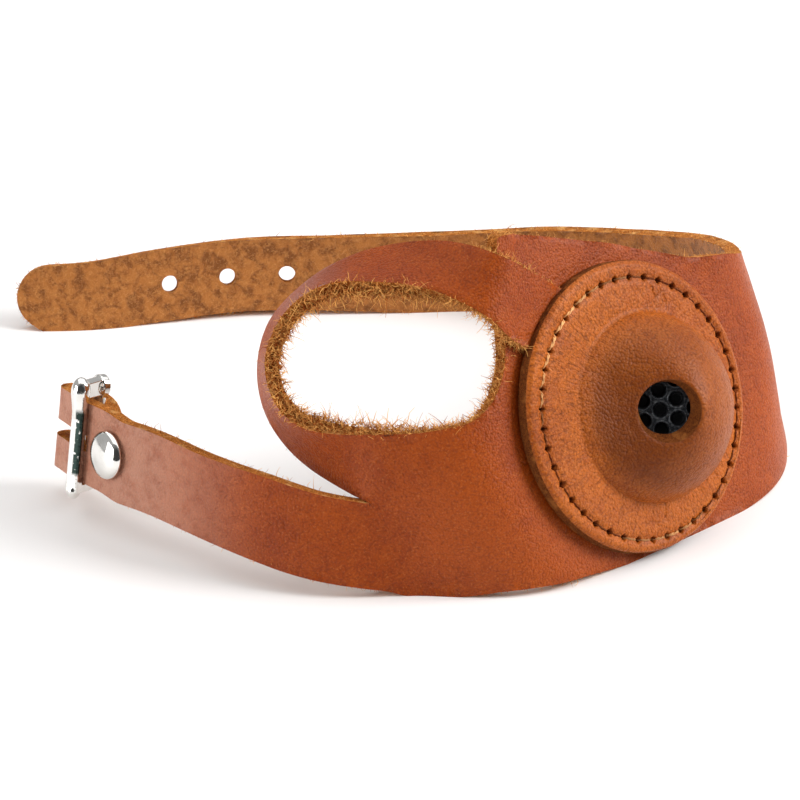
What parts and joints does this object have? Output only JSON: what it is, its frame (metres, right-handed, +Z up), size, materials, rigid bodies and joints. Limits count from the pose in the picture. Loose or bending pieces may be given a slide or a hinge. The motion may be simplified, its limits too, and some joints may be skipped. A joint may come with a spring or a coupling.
{
  "type": "sewing palm hand protector",
  "caption": "Leather sewing palm with a thumb loop, a stitched domed shield round an eye iron, and a holed strap with a buckle.",
  "frame": {"origin": "middle of the footprint, on the surface it stands on", "axes": "+Z up; +X along the hand ring's length, from the buckle and strap tip to the shield's side; -Y towards the outside of the palm; +Y towards the back strap"},
  "size_m": [0.1594, 0.1326, 0.0643],
  "materials": {
    "palm_leather": "smooth tan grain side, suede flesh side",
    "shield_leather": "moulded tan leather, satin",
    "black_iron": "blackened, dimpled",
    "nickel": "polished nickel plate"
  },
  "bodies": {
    "root": {"palm_leather": "palm_leather", "shield": "shield_leather", "eye_iron": "black_iron", "strap_rivet": "nickel", "buckle_frame": "nickel", "buckle_prong": "nickel"}
  },
  "joints": []
}
